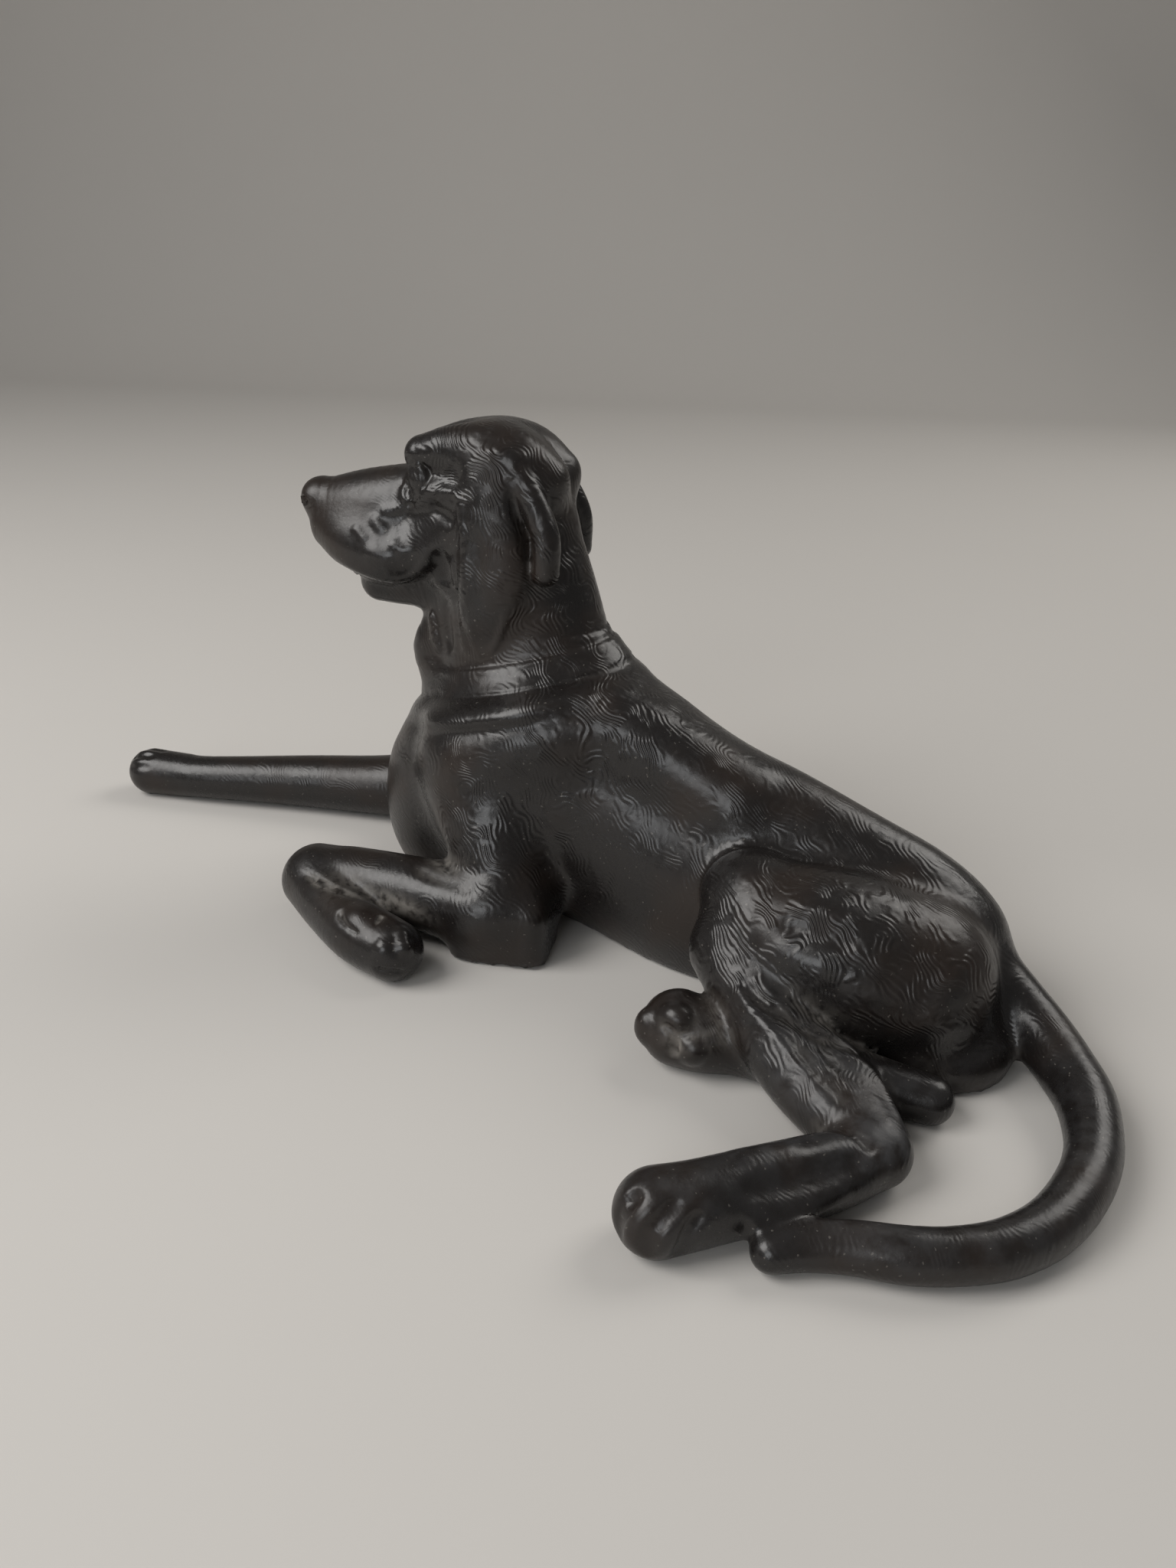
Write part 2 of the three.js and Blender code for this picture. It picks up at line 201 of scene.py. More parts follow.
class Stroke:
    """Relief along a curve on the skin, stations (x, y, z, half width): a ridge where rise is above
    zero and a furrow below, rise * exp(-(distance / half width)^2). It fades at both ends unless told
    not to."""

    def __init__(self, stations, rise, fades=True):
        self.line = smooth_line(stations, 5)
        self.rise = rise
        self.fades = fades
        reach = 2.4 * self.line[:, 3].max()
        self.low = self.line[:, :3].min(0) - reach
        self.high = self.line[:, :3].max(0) + reach

    def height(self, p):
        line = self.line.copy()
        width = line[:, 3].copy()
        line[:, 3] = np.arange(len(line))
        best = np.full(len(p), np.inf)
        place = np.zeros(len(p))
        for a, b in zip(line[:-1], line[1:]):
            along = b[:3] - a[:3]
            t = np.clip((p - a[:3]) @ along / (along @ along), 0.0, 1.0)
            d = p - a[:3] - t[:, None] * along
            away = (d * d).sum(1)
            closer = away < best
            best = np.where(closer, away, best)
            place = np.where(closer, a[3] + t, place)
        last = len(line) - 1
        half = np.interp(place, np.arange(last + 1), width)
        ends = 1.0
        if self.fades:
            run = STROKE_FADE * last
            ends = smooth_step(place, -0.01, run) * smooth_step(last - place, -0.01, run)
        return self.rise * np.exp(-best / (half * half)) * ends


# ---- the masses of the body ----
SPINE = [(-46, 0, 54, 14), (-24, 0, 52, 12), (4, 0, 44, 10.5), (30, 0, 37, 10), (50, 0, 30, 9),
         (63, -1.5, 21, 8)]
NECK = [(-54, 0, 36, 23.5), (-54, -0.5, 60, 18.6), (-56, -1, 80, 15.6), (-60, -1.5, 96, 14.2)]
SHOULDER_RIDGE = [(-60, -22, 42, 7), (-50, -24.5, 47, 7.5), (-37, -19.5, 53, 8), (-23, -11, 56, 9),
                  (-8, -9, 51, 9), (10, -8, 44, 8)]
UPPER_ARM = [(-58, -18, 42, 13), (-49, -25, 29, 12.5), (-40, -31, 16, 10.5)]
FOREARM = [(-42, -37, 10, 10.5), (-56, -39.5, 11.2, 9.4), (-72, -42, 10.8, 8.7), (-89, -45.6, 10, 8.2)]
FOLDED_PAW = [(-90, -47, 8.6, 8.1), (-77, -54, 7.9, 7.4), (-64, -58.6, 7.6, 7.9), (-53, -60, 7, 7.5)]
STRETCHED_LEG = [(-60, 24, 26, 15), (-84, 20, 15, 12), (-107, 11, 10, 9.6), (-135, -0.5, 8.3, 8),
                 (-163, -13.5, 7, 6.6), (-172, -16.5, 6.6, 6.8), (-182, -20, 6.6, 7.2)]
THIGH = [(60, -18, 18.5, 18.5), (47, -23.5, 21.5, 19), (37, -26, 23.5, 17.3), (30, -27.2, 26, 14)]
SHANK = [(24, -32.5, 20.5, 10.8), (33.5, -41.5, 15.5, 9), (45, -51, 10.5, 7.8), (58, -58.5, 8, 7.2),
         (68, -62, 7, 6.4)]
HEEL_CORD = [(36, -40, 13, 7), (47, -46, 11.5, 6.5), (57, -49.5, 9.5, 6.3), (64.5, -57, 7.5, 6.4),
             (69.3, -63, 6.5, 6)]
LEFT_HIND_FOOT = [(69.3, -64, 6.4, 6), (64.5, -72, 6.8, 7.2), (58, -81, 7, 7.7), (52.2, -88.5, 7.4, 7.7),
                  (46, -96, 7.4, 7.8), (41, -101.2, 7.2, 8.1)]
RIGHT_HIND_FOOT = [(72.6, -39.6, 4.6, 5.2), (52, -43.5, 6, 6.5), (34, -46, 6.5, 7), (25, -49.5, 7.5, 8),
                   (19.5, -50.5, 8, 8.5)]
TAIL = [(72, -2, 14, 9.5), (81, -5, 11, 7.6), (88.3, -9.3, 8.5, 6.9), (94.4, -15.6, 7.2, 6.5),
        (100.5, -24.3, 6.4, 6.2), (104.2, -35.2, 5.8, 5.7), (105.2, -44.4, 5.6, 5.5),
        (104.2, -54.8, 5.5, 5.4),
        (101.6, -64.2, 5.4, 5.3), (97.6, -71.5, 5.3, 5.2), (93.4, -76.3, 5.2, 5.1), (87.4, -81, 5.1, 5),
        (81.1, -84.6, 5.1, 5), (72.5, -87.8, 4.8, 4.7), (65.7, -91.6, 4.4, 4.3), (61, -95.6, 4, 3.8)]

BODY = [
    ball((-38, 0, 31), (44, 26, 35), 6),
    ball((-72.5, -2, 21), (23, 22, 29), 9),
    ball((6, 0, 18), (44, 24.5, 31), 10),
    ball((42, 1, 19), (34, 18, 21.5), 8),
    ball((56.5, -1, 14), (18.5, 15, 17.5), 8),
    ball((63, -12, 7), (16, 15, 15), 5),
    ball((66, -16, 4), (18, 17, 12), 5),
    limb(SPINE, 8),
    limb(NECK, 12, ((-0.97, -0.24, 0), 1.3)),
    limb(SHOULDER_RIDGE, 7),
    ball((-48, -16, 38), (20, 13, 26), 9, (0, 20, 0)),
    limb(UPPER_ARM, 7),
    block((-38.2, -33.8, 6), (12.2, 9.8, 11), 4.5, 7, 19),
    limb(FOREARM, 4),
    limb(FOLDED_PAW, 2.5),
    ball((-50, 17, 37), (19, 13, 27), 8, (0, 20, 0)),
    limb(STRETCHED_LEG, 6),
    limb(THIGH, 4),
    ball((23, -25, 29.5), (11.5, 11, 11.5), 4),
    limb(SHANK, 3),
    limb(HEEL_CORD, 2),
    limb(LEFT_HIND_FOOT, 2.5),
    limb(RIGHT_HIND_FOOT, 2.5),
    limb(TAIL, 3),
]

# ---- the masses of the head ----
EAR_FLAP = [(-2.5, 13.2, 17, 2.6), (-1.5, 15.5, 8, 2.8), (-2.6, 16.8, -9, 3.5), (-2, 17, -20, 3),
            (-1, 16.2, -29, 1.7)]
EAR_ROLL = [(-6, 12, 15.5, 3), (-11.5, 14, 8.5, 3.2), (-15.6, 15.4, 0, 3.4), (-16, 15.8, -8.5, 3.3)]

HEAD = [
    ball((0.8, 0, 5), (17.2, 15, 19.5), 6),
    limb([(18.3, 7, 15.4, 4.8), (9, 7.6, 17.2, 5.8), (-4, 7.5, 16, 6.5), (-12, 6, 11.5, 6)], 5),
    limb([(18, 0, 3, 10), (34, 0, 1.6, 8.2), (47, 0, 0, 6.2)], 5),
    ball((29, 0, -3), (20, 10.5, 10.5), 4),
    limb([(45.5, 2.6, -6.5, 5.2), (38, 5.5, -8.5, 7), (28, 7, -10, 7.8), (18, 7.5, -8, 6.5)], 5),
    limb([(33.5, 0, -19, 5.6), (27, 0, -19.3, 5.6), (14, 0, -17.5, 7.5)], 4),
    ball((50.3, 0, 1.6), (4.3, 5.6, 4.4), 3),
    ball((6, 8.5, -5), (13, 6.5, 13), 5),
    limb([(20, 9, 6, 3), (13, 11.5, 7.5, 3), (6, 12.5, 5, 3.2)], 3),
    limb([(9, 0, -24, 7.5), (17.4, 0, -35.5, 7.2), (9, 0, -44, 9)], 5),
    limb(EAR_FLAP, 2, ((1, 0, 0), 2.5)),
    limb(EAR_ROLL, 1.5),
]

# ---- carving of the head ----
HEAD_CARVING = [
    ball((19.4, 11.2, 9.8), (4.2, 3.2, 5.2), 1.6, cut=True),  # eye socket
    ball((17.6, 8.6, 9.6), (4.2, 4.0, 4.6), 0.6),  # eyeball
    ball((51.8, 4.3, 0.9), (1.7, 1.5, 1.2), 0.7, cut=True),  # nostril
    limb([(51.6, 4.6, 0.6, 0.7), (50.2, 5.6, 0.2, 0.6), (49, 5.9, 0.9, 0.4)], 0.6, cut=True),
]
HEAD_STROKES = [
    # eyelids and the fold of the brow
    Stroke([(22.2, 6.6, 6.6, 0.9), (21.6, 8.8, 11.6, 0.9), (19.4, 10.8, 14.2, 1.0),
            (15.6, 12.6, 11.4, 0.9)], 1.1),
    Stroke([(22.4, 7.4, 6.2, 0.8), (19.4, 11.0, 5.4, 0.9), (15.4, 12.8, 8.6, 0.9)], 0.8),
    Stroke([(24, 6.5, 9, 1.1), (22.5, 8.6, 4.6, 1.0), (19, 12.4, 3.4, 1.2)], -0.6),
    # lip of the upper jaw, its shadow, and the corner of the mouth
    Stroke([(45, 8, -9.6, 0.9), (38, 11.4, -12.2, 1.0), (31.2, 13.2, -14.2, 1.0), (25, 12.8, -15.6, 1.1),
            (20.6, 12.4, -14.2, 1.0), (16.6, 13.8, -10.4, 1.0), (14.2, 14.8, -6.0, 0.9)], 0.7),
    Stroke([(44, 6.5, -11.6, 1.0), (37, 9, -15, 1.1), (30, 9.5, -17.3, 1.2), (23.5, 9.0, -18.0, 1.3),
            (18, 10.5, -15.8, 1.3), (14, 12.6, -11.5, 1.3), (11.4, 14.2, -7, 1.2)], -1.2),
    # folds of the cheek and the throat
    Stroke([(8.4, 16, -6.5, 1.2), (7.4, 15.8, -11.5, 1.0), (7.6, 15, -16, 1.0)], 0.9),
    Stroke([(18.4, 6.4, -23.4, 1.3), (16.4, 8.2, -29, 1.2), (13.6, 9.6, -35, 1.1)], 1.0),
    Stroke([(7.4, 14.6, -17.4, 1.1), (6.2, 16, -24, 1.2), (3.2, 17.4, -31, 1.1)], 0.9),
    Stroke([(12.8, 11.2, -18.4, 1.6), (11.6, 11.8, -26, 1.5), (9.4, 12.6, -33, 1.4)], -1.1),
    # hollow between the flew and the ear
    Stroke([(12.8, 13.4, -5.5, 2.2), (11, 13.8, -10, 2.6), (12, 12.4, -16, 2.2)], -1.9),
    # hollow under the cheek bone
    Stroke([(15, 13.2, 4.6, 1.9), (10.4, 15, 3.4, 2.0), (6.6, 16.4, 1.4, 1.6)], -0.8),
    Stroke([(12.8, 14.2, 8.4, 0.9), (7.4, 15.6, 8.6, 1.0), (4.2, 17.0, 5.8, 0.9)], 0.7),
    # lumps of the flew
    Stroke([(27.6, 10.8, 1.6, 1.6), (24, 10.9, 2.4, 1.6)], 0.6, fades=False),
    Stroke([(30, 11.4, -0.8, 1.4), (28.4, 12.0, -2.2, 1.4)], 0.6, fades=False),
    Stroke([(34.8, 12.2, -3.2, 1.2), (32.6, 12.6, -5.2, 1.2)], 0.5, fades=False),
    Stroke([(24, 13.8, -6.0, 1.5), (21.6, 14.2, -7.2, 1.4)], 0.7, fades=False),
    Stroke([(29.6, 14.4, -8.6, 2.2), (26, 14.8, -9.6, 2.2)], 0.7, fades=False),
    # fold of the ear flap, its rims, and the groove before the rolled edge
    Stroke([(6, 15.4, 11, 0.9), (4.6, 18.2, 1, 0.9), (3.6, 19.6, -10, 1.0),
            (2.9, 19.4, -18.6, 0.9)], 0.6),
    Stroke([(2.4, 19.0, -20, 0.9), (1.4, 18.4, -27, 1.0), (-1.5, 18.0, -31.4, 0.9)], 0.6),
    Stroke([(-1.8, 18.2, -31, 0.9), (-5.2, 18.8, -25, 0.9), (-7.4, 19.2, -17.6, 0.9)], 0.6),
    Stroke([(-6.6, 16, 11, 1.2), (-8.2, 16.8, 5.4, 1.2), (-11, 17.2, -2.6, 1.1),
            (-13.2, 17.4, -9, 1.0)], -0.5),
    Stroke([(0.6, 18.6, 2, 1.6), (-0.4, 19.8, -8, 1.7), (-0.8, 20, -20, 1.6)], -0.5),
]

# ---- carving of the body ----
BODY_CARVING = [
    # pads and claws of the folded forepaw
    ball((-62.4, -60.6, 11.6), (5.4, 3.9, 4.2), 1.2, (0, 0, -18)),
    ball((-51.8, -64.4, 9.8), (2.6, 2.4, 2.8), 0.8),
    ball((-48.2, -61.8, 10.2), (2.6, 2.4, 2.8), 0.8),
    ball((-50.0, -60.4, 12.2), (2.4, 2.3, 2.2), 0.8),
    # pads of the right hind foot
    ball((20.6, -54.4, 13.2), (4.2, 3.4, 3.4), 0.9),
    ball((14.6, -54.6, 8.8), (3.6, 3.6, 4.6), 1.0),
    ball((25.6, -56.2, 8.0), (3.4, 2.6, 3.4), 1.0),
]
BODY_STROKES = [
    # collar: the seam above it
    Stroke([(-79, -13.6, 64.4, 0.8), (-72.1, -16.3, 64.6, 0.8), (-55.7, -20.9, 67.6, 0.8),
            (-45.3, -18.2, 70.9, 0.8), (-38.9, -12.1, 73.6, 0.8)], -0.9),
    # folded foreleg: the furrow between forearm and paw, and the creases at the elbow
    Stroke([(-89, -52.6, 14.4, 1.0), (-79, -55.0, 14.3, 1.3), (-70, -55.4, 14.2, 1.6),
            (-62, -52.8, 12.6, 1.8),
            (-55, -51.6, 11.0, 1.6)], -1.3),
    Stroke([(-68, -61.6, 14.2, 1.0), (-64, -63.8, 12.6, 0.9), (-57.4, -64.8, 11.6, 0.9)], -0.6),
    Stroke([(-57.2, -58.4, 14.4, 0.8), (-56.2, -61.4, 13.6, 0.8), (-56.0, -65.4, 10.6, 0.8)], -0.9),
    Stroke([(-50.4, -61.8, 13.2, 0.6), (-50.0, -64.0, 10.6, 0.7), (-49.4, -65.4, 7.6, 0.6)], -0.9),
    Stroke([(-53.0, -67.0, 6.2, 0.6), (-49.6, -66.4, 6.0, 0.7), (-46.4, -63.0, 5.2, 0.6)], -0.7),
    Stroke([(-62, -42.4, 20.4, 1.2), (-53.5, -44.0, 20.2, 1.5), (-45, -44.6, 20.6, 1.5),
            (-41, -45.4, 18.6, 1.2)], -1.0),
    Stroke([(-86.5, -43.2, 18.2, 2.4), (-72, -41, 19.4, 2.6), (-60, -40.2, 20.2, 2.4)], 0.5),
    # right hind foot: the forked furrow between its pads
    Stroke([(18.6, -57.6, 13.4, 0.8), (22.0, -58.4, 11.4, 1.0), (22.4, -58.6, 5.4, 1.2)], -1.3),
    Stroke([(22.4, -58.2, 11.6, 0.9), (26.2, -56.4, 12.8, 0.9), (30.0, -53.6, 13.8, 0.8)], -1.1),
    # muscle of the thigh
    Stroke([(34, -38.6, 33.6, 2.6), (44.3, -38.6, 34.4, 2.8), (53, -36.8, 33.4, 2.4)], -0.9),
    Stroke([(36, -35.8, 37.6, 2.6), (45, -34.8, 38.0, 2.8), (55, -32.2, 36.6, 2.6)], 0.5),
    Stroke([(34, -41.4, 28.6, 3.0), (43, -42.4, 29.0, 3.4), (52, -40.4, 28.6, 3.0)], 0.5),
    Stroke([(58, -37.6, 30, 3.4), (64, -34.4, 28.6, 3.6), (71, -30.6, 26.6, 3.2)], -1.1),
    Stroke([(66, -34.6, 21, 3.0), (71, -32.4, 18.6, 3.2)], 0.7),
    # crease under the thigh, and the edges of the shank
    Stroke([(26.9, -45.6, 23.4, 1.2), (35.2, -48.2, 21.2, 1.5), (42.6, -49.2, 19.4, 1.6),
            (50, -48.6, 17.4, 1.6),
            (57.5, -47.0, 15.6, 1.4), (63.4, -43.6, 11.6, 1.2)], -1.4),
    Stroke([(28, -44.6, 24.4, 1.0), (34.6, -50.4, 19.9, 1.3), (42.4, -54.0, 17.8, 1.4),
            (51.4, -58.6, 15.4, 1.3),
            (57.4, -62.6, 14.0, 1.1)], 0.8),
    Stroke([(44, -52.2, 18.2, 1.2), (53.0, -58.2, 15.6, 1.6), (58.4, -60.0, 14.8, 1.6),
            (62, -63.4, 13.4, 1.2)], -0.9),
    Stroke([(54, -49.8, 15.9, 1.2), (62, -49.8, 14.4, 1.3), (68, -54, 13.0, 1.2),
            (73.2, -62, 11.6, 1.1)], 0.6),
    # left hind foot: furrow beside the heel cord
    Stroke([(52.9, -96.6, 12.8, 1.8), (56.9, -90.9, 13.1, 2.2), (61.8, -84.8, 12.6, 2.4),
            (66.5, -77.9, 12.4, 2.4),
            (70.0, -72.0, 11.8, 1.8)], -1.8),
    Stroke([(55.6, -96.8, 8.2, 2.0), (58.4, -93.2, 8.6, 2.2), (64.1, -85.6, 8.2, 2.4),
            (69.9, -77.1, 7.4, 2.2)], 0.8),
    Stroke([(49, -89, 14.9, 2.4), (52.7, -84.9, 14.8, 2.6), (60, -77.9, 14.6, 2.4)], 0.6),
    Stroke([(55.4, -70, 12.6, 1.2), (60, -69.2, 13.4, 1.4), (66, -69, 12.8, 1.5),
            (70.4, -71.4, 11.4, 1.4)], -1.3),
    # toes of the left hind foot
    Stroke([(46.4, -102.0, 14.2, 1.2), (44.8, -105.6, 12.2, 1.4), (43.2, -108.4, 8.6, 1.5),
            (43.2, -108.6, 2.6, 1.4)], -1.7),
    Stroke([(39.8, -104.0, 14.0, 1.2), (38.2, -106.6, 11.6, 1.3), (36.8, -107.8, 8.0, 1.4),
            (36.6, -107.6, 2.6, 1.3)], -1.5),
    Stroke([(50.2, -100.6, 12.2, 1.1), (48.8, -103.6, 10.0, 1.3), (48.0, -105.2, 6.0, 1.3),
            (47.4, -105.6, 2.4, 1.2)], -1.3),
    # toes of the stretched forefoot
    Stroke([(-186.5, -19.5, 12.2, 0.9), (-183.0, -19.0, 13.6, 1.0), (-177, -17.4, 13.8, 0.9)], -1.0),
    Stroke([(-187.5, -23.0, 10.8, 0.9), (-183.8, -23.4, 12.6, 1.0), (-178, -21.6, 13.0, 0.9)], -1.0),
    Stroke([(-185.5, -26.6, 8.6, 0.9), (-182.0, -26.8, 10.4, 1.0), (-176.6, -24.8, 11.2, 0.9)], -0.9),
    Stroke([(-186.2, -15.6, 11.0, 0.9), (-182.4, -14.8, 12.4, 1.0), (-177, -13.6, 12.6, 0.9)], -0.9),
]


# ---- the field: its distance is below zero inside the iron ----
def blend_in(d, p, forms, reach=2.0):
    """Joins each form to the distances so far: added with a fillet, or cut out of them."""
    for form in forms:
        near = form.near(p, 1.25 * form.blend + reach)
        if not near.any():
            continue
        own = form.distance(p[near])
        if form.cut:
            d[near] = smooth_max(d[near], -own, form.blend)
        else:
            d[near] = smooth_min(d[near], own, form.blend)
    return d


def stroke_in(d, p, strokes):
    """Raises or lowers the skin by each stroke's relief."""
    for stroke in strokes:
        near = np.all((p > stroke.low) & (p < stroke.high), axis=1)
        if near.any():
            d[near] -= stroke.height(p[near])
    return d


def to_head(p):
    """Points in the head's frame: forward, out to either side alike, up."""
    yaw = math.radians(HEAD_YAW)
    cos, sin = math.cos(yaw), math.sin(yaw)
    d = p - np.array(HEAD_AT)
    across = sin * d[:, 0] - cos * d[:, 1]
    side = np.where(across < 0, -across * FAR_NARROW, across)
    return np.stack([-cos * d[:, 0] - sin * d[:, 1], side, d[:, 2]], 1)


def collar_in(d, p):
    """The collar is a band proud of the neck between two slanted planes, with a fold of skin under it."""
    h = (p[:, 2] - COLLAR_AT[2] - COLLAR_RISE * (p[:, 0] - COLLAR_AT[0])) / math.hypot(1, COLLAR_RISE)
    near = (np.abs(h) < COLLAR_REACH) & (p[:, 2] > NECK_FROM)
    if not near.any():
        return d
    x, h, own = p[near, 0], h[near], d[near]
    swell = smooth_step(x, *FOLD_START) * (1 - smooth_step(x, *FOLD_END))
    fold = np.hypot(own + FOLD_SINK - FOLD_SWELL * swell, h + FOLD_DROP) - FOLD_ROUND
    band = smooth_max(own - COLLAR_PROUD, np.abs(h) - COLLAR_HALF, 1.0)
    d[near] = np.minimum(smooth_min(own, fold, 2.0), band)
    return d


def field(p, carved=True):
    """Distance from the skin at each point, in millimetres, negative inside."""
    d = blend_in(np.full(len(p), 30.0), p, BODY)
    d = collar_in(d, p)
    q = to_head(p)
    d = blend_in(d, q, HEAD)
    if carved:
        d = blend_in(d, q, HEAD_CARVING, 0.5)
        d = stroke_in(d, q, HEAD_STROKES)
        d = blend_in(d, p, BODY_CARVING, 0.5)
        d = stroke_in(d, p, BODY_STROKES)
    return np.maximum(d, -p[:, 2])


def slope(p, step=0.08):
    """Gradient of the field from the four corners of a small tetrahedron around each point."""
    corners = np.array([(1, -1, -1), (-1, -1, 1), (-1, 1, -1), (1, 1, 1)], float)
    return sum(field(p + step * c)[:, None] * c for c in corners) / (4 * step)


# ---- the skin ----
def sample(cell):
    """The field on a grid. Blocks far from the skin keep the value at their middle."""
    size = BLOCK_CELLS * cell
    blocks = [int(math.ceil((b - a) / size)) for a, b in zip(LOW, HIGH)]
    axes = [a + size * (np.arange(n) + 0.5) for a, n in zip(LOW, blocks)]
    middle = np.stack(np.meshgrid(*axes, indexing="ij"), -1).reshape(-1, 3)
    coarse = field(middle, carved=False).reshape(blocks)
    value = coarse.repeat(BLOCK_CELLS, 0).repeat(BLOCK_CELLS, 1).repeat(BLOCK_CELLS, 2)
    near = (np.abs(coarse) < 1.9 * size).repeat(BLOCK_CELLS, 0).repeat(BLOCK_CELLS, 1).repeat(BLOCK_CELLS, 2)
    index = np.argwhere(near)
    value[near] = field(np.array(LOW) + cell * index, carved=False)
    return value


def skin(cell):
    """Surface nets: a vertex at the mean of the crossings of every cell that the skin passes, and a
    quad across every grid edge whose ends lie on different sides."""
    value = sample(cell)
    inside = value < 0
    n = np.array(value.shape)
    total = np.zeros(tuple(n - 1) + (3,))
    count = np.zeros(tuple(n - 1))
    crossed = []
    for axis in range(3):
        a = np.moveaxis(value, axis, 0)
        change = np.moveaxis(inside, axis, 0)
        change = change[:-1] != change[1:]
        span = np.where(change, a[:-1] - a[1:], 1.0)
        t = np.where(change, a[:-1] / span, 0.0)
        place = np.argwhere(change)
        at = t[tuple(place.T)]
        own = np.insert(place[:, 1:], axis, place[:, 0], axis=1)
        point = own.astype(float)
        point[:, axis] += at
        others = [k for k in range(3) if k != axis]
        ring = []
        for da, db in ((0, 0), (1, 0), (1, 1), (0, 1)):
            c = own.copy()
            c[:, others[0]] -= da
            c[:, others[1]] -= db
            ring.append(c)
            flat = np.ravel_multi_index(tuple(np.clip(c, 0, n - 2).T), tuple(n - 1))
            np.add.at(total.reshape(-1, 3), flat, point)
            np.add.at(count.reshape(-1), flat, 1.0)
        outward = inside[tuple(own.T)]
        if axis == 1:
            outward = ~outward
        crossed.append((np.stack(ring, 1), outward))
    used = count > 0
    name = np.full(tuple(n - 1), -1)
    name[used] = np.arange(used.sum())
    points = np.array(LOW) + cell * total[used] / count[used][:, None]
    quads = []
    for ring, outward in crossed:
        q = name[ring[..., 0], ring[..., 1], ring[..., 2]]
        quads.append(np.where(outward[:, None], q, q[:, ::-1]))
    quads = np.concatenate(quads)
    split = np.concatenate([quads[:, [0, 1, 2]], quads[:, [0, 2, 3]]])
    return points, split


def settle(p, first=0):
    """Newton's steps along the gradient carry each point from the first on onto the skin; points on the
    table stay level."""
    q = p[first:].copy()
    low = q[:, 2] < ON_TABLE
    g = slope(q)
    g /= np.maximum((g * g).sum(1), 0.25)[:, None]
    for _ in range(2):
        q -= np.clip(field(q), -1.0, 1.0)[:, None] * g
        q[low, 2] = 0.0
        q[:, 2] = np.maximum(q[:, 2], 0.0)
    return np.concatenate([p[:first], q])


def even_out(p, faces, share):
    """Moves each point part of the way to the mean of its neighbours."""
    edges = np.concatenate([faces[:, [0, 1]], faces[:, [1, 2]], faces[:, [2, 0]]])
    total = np.zeros_like(p)
    count = np.zeros(len(p))
    for a, b in ((0, 1), (1, 0)):
        for k in range(3):
            total[:, k] += np.bincount(edges[:, a], p[edges[:, b], k], len(p))
        count += np.bincount(edges[:, a], minlength=len(p))
    moved = total / count[:, None]
    out = p + share * (moved - p)
    flat = p[:, 2] < ON_TABLE
    out[flat, 2] = p[flat, 2]
    return out


def refine(p, faces, chosen):
    """Splits the chosen triangles in four, and their neighbours in two or three so that no gap opens."""
    edges = np.sort(np.concatenate([faces[:, [0, 1]], faces[:, [1, 2]], faces[:, [2, 0]]]), axis=1)
    unique, back = np.unique(edges, axis=0, return_inverse=True)
    back = back.reshape(3, -1).T
    marked = np.zeros(len(unique), bool)
    marked[back[chosen].ravel()] = True
    middle = np.full(len(unique), -1)
    middle[marked] = len(p) + np.arange(marked.sum())
    p = np.concatenate([p, p[unique[marked]].mean(1)])
    m = middle[back]
    split = m >= 0
    count = split.sum(1)
    out = [faces[count == 0]]
    f, q = faces[count == 3], m[count == 3]
    out += [np.stack(v, 1) for v in ((f[:, 0], q[:, 0], q[:, 2]), (q[:, 0], f[:, 1], q[:, 1]),
                                     (q[:, 2], q[:, 1], f[:, 2]), (q[:, 0], q[:, 1], q[:, 2]))]
    for turn in range(3):
        order = [turn, (turn + 1) % 3, (turn + 2) % 3]
        one = (count == 1) & split[:, turn]
        f, q = faces[one][:, order], m[one][:, order]
        out += [np.stack((f[:, 0], q[:, 0], f[:, 2]), 1), np.stack((q[:, 0], f[:, 1], f[:, 2]), 1)]
        two = (count == 2) & ~split[:, turn]
        f, q = faces[two][:, order], m[two][:, order]
        out += [np.stack((f[:, 0], f[:, 1], q[:, 1]), 1), np.stack((f[:, 0], q[:, 1], q[:, 2]), 1),
                np.stack((q[:, 2], q[:, 1], f[:, 2]), 1)]
    return p, np.concatenate(out)


def in_boxes(p, boxes):
    """Which points lie in any of the boxes (low corner, high corner)."""
    found = np.zeros(len(p), bool)
    for low, high in boxes:
        found |= np.all((p > np.array(low)) & (p < np.array(high)), axis=1)
    return found


# where the triangles are halved in length, and where they are halved again
FINE_BOXES = [
    ((-118, -40, 60), (-30, 40, 132)),  # head and collar
    ((-96, -72, -1), (-36, -40, 24)),  # folded foreleg
    ((-192, -34, -1), (-165, -5, 22)),  # stretched forefoot
    ((10, -112, -1), (80, -36, 42)),  # hind legs and feet
    ((-60, -40, 36), (0, -8, 70)),  # shoulder
]
FINEST_BOXES = [
    ((-68, -72, -1), (-43, -46, 18)),  # folded forepaw
    ((12, -62, 2), (34, -46, 20)),  # right hind foot
]
HEAD_FINEST_BOXES = [((13, 4, 2), (26, 16, 18)), ((44, -1, -8), (58, 9, 8))]  # eye, nose


def model():
    """The finished skin in the sculptor's frame: points and triangles."""
    p, faces = skin(CELL)
    p = settle(even_out(p, faces, 0.6))
    count = len(p)
    p, faces = refine(p, faces, in_boxes(p[faces].mean(1), FINE_BOXES))
    p = settle(p, count)
    middle = p[faces].mean(1)
    count = len(p)
    finest = in_boxes(middle, FINEST_BOXES) | in_boxes(to_head(middle), HEAD_FINEST_BOXES)
    p, faces = refine(p, faces, finest)
    p = settle(p, count)
    return settle(even_out(p, faces, 0.35)), faces


